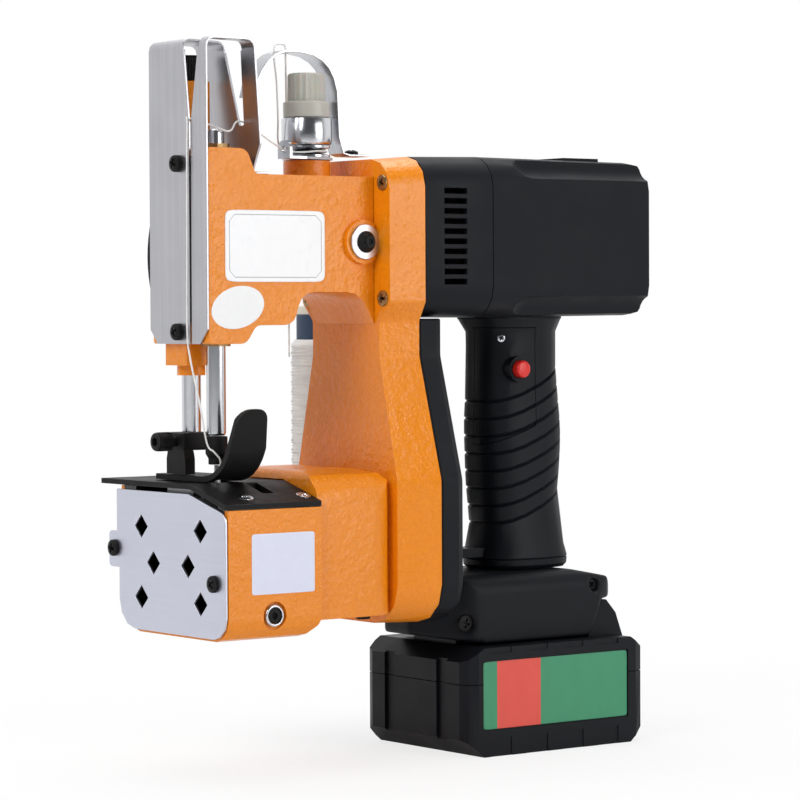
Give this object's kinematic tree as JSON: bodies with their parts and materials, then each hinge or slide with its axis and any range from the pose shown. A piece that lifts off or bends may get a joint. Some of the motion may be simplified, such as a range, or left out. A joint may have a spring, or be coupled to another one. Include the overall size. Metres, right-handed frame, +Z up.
{
  "type": "bag closing sewing machine",
  "caption": "Hand-held cordless sack stitcher: cast arm with needle and presser, belt-driven from a rear motor, pistol grip and slide-on battery.",
  "frame": {"origin": "centre of the battery's underside", "axes": "+Z up, +X from the needle end to the motor end, +Y to the spool's side"},
  "size_m": [0.2365, 0.1448, 0.3054],
  "materials": {
    "orange_paint": "gloss",
    "black_plastic": "satin",
    "bright_steel": "polished",
    "plain_steel": "satin",
    "blacked_steel": "satin",
    "wheel_alloy": "satin",
    "bronze": "satin",
    "ivory_nylon": "satin",
    "white_nylon": "satin",
    "red_plastic": "gloss",
    "blue_tube": "matte",
    "white_thread": "matte",
    "belt_rubber": "matte",
    "cell_sleeve": "satin"
  },
  "bodies": {
    "machine": {"upper_arm": "orange_paint", "column_housing": "orange_paint", "looper_housing": "orange_paint", "belt_case": "black_plastic", "motor_front_housing": "black_plastic", "motor_rear_housing": "black_plastic", "grip": "black_plastic", "switch_cover": "black_plastic", "battery_foot": "black_plastic", "head_side_cover": "black_plastic", "face_cover": "bright_steel", "looper_cover_plate": "bright_steel", "tension_eyelet_plate": "bright_steel", "tension_lower_disc": "bright_steel", "tension_upper_disc": "bright_steel", "tension_cup": "bright_steel", "thread_guide": "bright_steel", "motor_stator": "plain_steel", "motor_end_plate": "plain_steel", "shaft_front_bearing": "plain_steel", "shaft_rear_bearing": "plain_steel", "presser_spring": "plain_steel", "tension_post": "plain_steel", "spool_shelf": "plain_steel", "throat_plate": "blacked_steel", "pivot_stud": "blacked_steel", "needle_bar_lower_bush": "bronze", "needle_bar_upper_bush": "bronze", "run_switch": "white_nylon", "sewing_thread": "white_thread", "drive_belt": "belt_rubber"},
    "motor_rotor": {"motor_armature": "plain_steel", "motor_pulley": "plain_steel", "cooling_fan": "black_plastic"},
    "shaft": {"drive_shaft": "plain_steel", "shaft_pulley": "wheel_alloy"},
    "lever": {"needle_lever": "plain_steel"},
    "rod": {"connecting_rod": "plain_steel"},
    "needle_carriage": {"needle_bar": "bright_steel", "needle_crosshead": "plain_steel", "needle_chuck": "blacked_steel", "needle": "bright_steel"},
    "presser": {"presser_bar": "bright_steel", "presser_foot_shank": "blacked_steel", "foot_clamp_screw": "blacked_steel", "presser_sole": "blacked_steel"},
    "adjuster": {"presser_adjusting_screw": "blacked_steel"},
    "feed": {"feed_dog": "plain_steel", "feed_bar": "plain_steel"},
    "hook": {"looper": "bright_steel"},
    "tension_dial": {"tension_knob": "ivory_nylon"},
    "spool": {"spool_core": "blue_tube", "thread_package": "white_thread", "thread_winding": "white_thread"},
    "button": {"run_button": "red_plastic"},
    "battery": {"battery_lower_case": "black_plastic", "battery_upper_case": "black_plastic", "cell_pack": "cell_sleeve"},
    "latch": {"battery_latch": "black_plastic"}
  },
  "joints": [
    {"name": "motor_spin", "type": "hinge", "parent": "machine", "child": "motor_rotor", "pos_m": [-0.063, 0, 0.224], "axis": [1, 0, 0], "continuous": true},
    {"name": "shaft_spin", "type": "hinge", "parent": "machine", "child": "shaft", "pos_m": [-0.063, 0, 0.095], "axis": [1, 0, 0], "continuous": true},
    {"name": "needle_slide", "type": "slide", "parent": "machine", "child": "needle_carriage", "axis": [0, 0, 1], "range_m": [0, 0.0205]},
    {"name": "lever_rock", "type": "hinge", "parent": "machine", "child": "lever", "pos_m": [-0.0936, 0, 0.2214], "axis": [0, 1, 0], "range_deg": [0, 17.76]},
    {"name": "rod_slide", "type": "slide", "parent": "machine", "child": "rod", "axis": [0, 0, 1], "range_m": [-0.00482, 0]},
    {"name": "presser_lift", "type": "slide", "parent": "machine", "child": "presser", "axis": [0, 0, 1], "range_m": [0, 0.008], "stiffness_N_per_m": 600, "springref_m": -0.01, "deforming": ["presser_spring"]},
    {"name": "adjuster_turn", "type": "hinge", "parent": "machine", "child": "adjuster", "pos_m": [-0.16, 0.00935, 0.288], "axis": [0, 0, 1], "range_deg": [-180, 180]},
    {"name": "feed_stroke", "type": "slide", "parent": "machine", "child": "feed", "axis": [0, 1, 0], "range_m": [-0.004, 0.004]},
    {"name": "looper_swing", "type": "hinge", "parent": "machine", "child": "hook", "pos_m": [-0.16, -0.02335, 0.074], "axis": [1, 0, 0], "range_deg": [-8, 10]},
    {"name": "tension_turn", "type": "hinge", "parent": "machine", "child": "tension_dial", "pos_m": [-0.107, 0, 0.28], "axis": [0, 0, 1], "range_deg": [-180, 180]},
    {"name": "spool_spin", "type": "hinge", "parent": "machine", "child": "spool", "pos_m": [-0.032, 0.0739, 0.0976], "axis": [0, 0, 1], "continuous": true},
    {"name": "button_press", "type": "slide", "parent": "machine", "child": "button", "axis": [0, 1, 0], "range_m": [0, 0.003], "stiffness_N_per_m": 500, "springref_m": -0.001},
    {"name": "battery_slide", "type": "slide", "parent": "machine", "child": "battery", "axis": [1, 0, 0], "range_m": [0, 0.09]},
    {"name": "latch_press", "type": "slide", "parent": "battery", "child": "latch", "axis": [-1, 0, 0], "range_m": [0, 0.003], "stiffness_N_per_m": 800, "springref_m": -0.001}
  ],
  "couplings": [
    {"joint": "shaft_spin", "follows": "motor_spin", "ratio": 0.28571},
    {"joint": "lever_rock", "follows": "needle_slide", "rad_per_m": 15.121},
    {"joint": "rod_slide", "follows": "needle_slide", "ratio": -0.23494}
  ]
}
